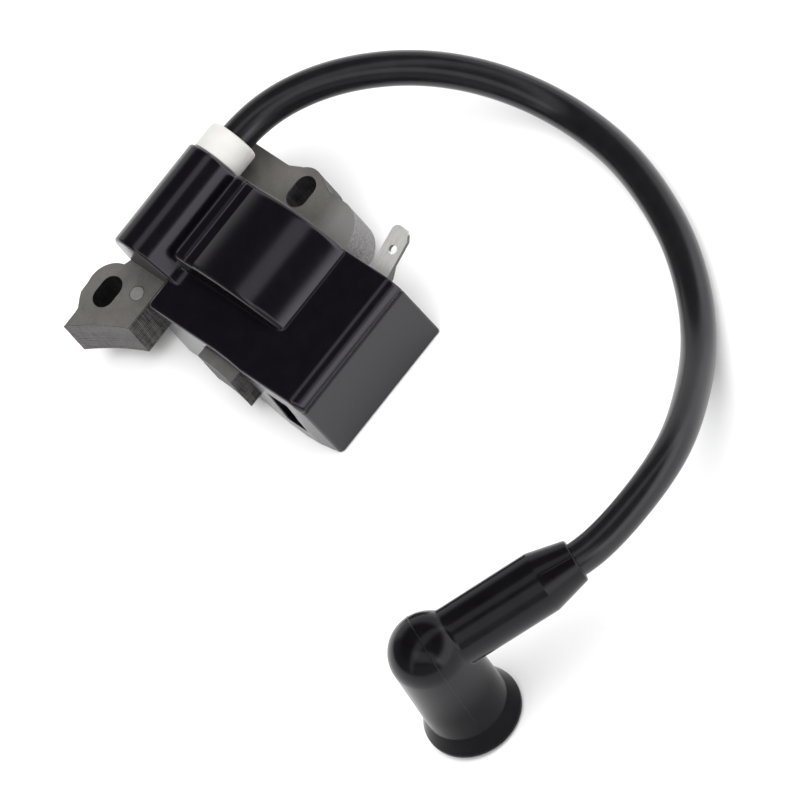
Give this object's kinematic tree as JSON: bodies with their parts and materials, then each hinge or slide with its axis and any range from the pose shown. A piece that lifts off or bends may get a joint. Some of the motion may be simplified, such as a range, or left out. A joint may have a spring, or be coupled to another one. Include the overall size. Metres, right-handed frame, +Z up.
{
  "type": "ignition coil",
  "caption": "Potted flywheel ignition coil with laminated U core, slotted mounting holes, spade terminal, short high-tension lead and elbow plug boot.",
  "frame": {"origin": "centre of the coil's own bounding box (core, winding box, barrel, bush and terminal, without lead and boot), at its bottom face", "axes": "+Z up, out of the winding box's top and along both mounting screws; the flywheel side, with both pole faces, is -Y; the terminal points to +Y; the high-tension barrel is on the -X side"},
  "size_m": [0.1441, 0.1203, 0.0331],
  "materials": {
    "laminated_steel": "satin, rolled sheet with cut edges",
    "rivet": "dull, headed flush",
    "moulded_black": "semi-gloss moulding",
    "resin": "cast resin",
    "bobbin": "moulded",
    "copper_wire": "enamelled wire, wound",
    "fine_wire": "enamelled fine wire, wound",
    "board": "solder mask",
    "film_capacitor": "dipped resin",
    "package_black": "moulded",
    "resistor": "coated",
    "tinned": "tinned, smooth",
    "brass_post": "turned",
    "bush_white": "moulded",
    "lead_rubber": "satin, extruded",
    "boot_rubber": "satin, moulded",
    "spring_steel": "drawn wire"
  },
  "bodies": {
    "coil": {"core_stack": "laminated_steel", "core_rivets": "rivet", "housing": "moulded_black", "potting": "resin", "primary_bobbin": "bobbin", "primary_winding": "copper_wire", "secondary_bobbin": "bobbin", "secondary_winding": "fine_wire", "trigger_core": "laminated_steel", "trigger_bobbin": "bobbin", "trigger_winding": "copper_wire", "circuit_board": "board", "capacitor": "film_capacitor", "thyristor": "package_black", "diodes": "package_black", "resistors": "resistor", "ground_strip": "tinned", "kill_terminal": "tinned", "hv_wire": "copper_wire", "hv_post": "brass_post", "lead_bush": "bush_white", "lead_jacket": "lead_rubber"},
    "plug_boot": {"boot": "boot_rubber", "boot_spring": "spring_steel", "boot_terminal": "spring_steel"}
  },
  "joints": [
    {"name": "boot_swivel", "type": "hinge", "parent": "coil", "child": "plug_boot", "pos_m": [0.0954, -0.04115, 0.0249], "axis": [0.3576, 0.9315, -0.0663], "range_deg": [-90, 90]}
  ]
}
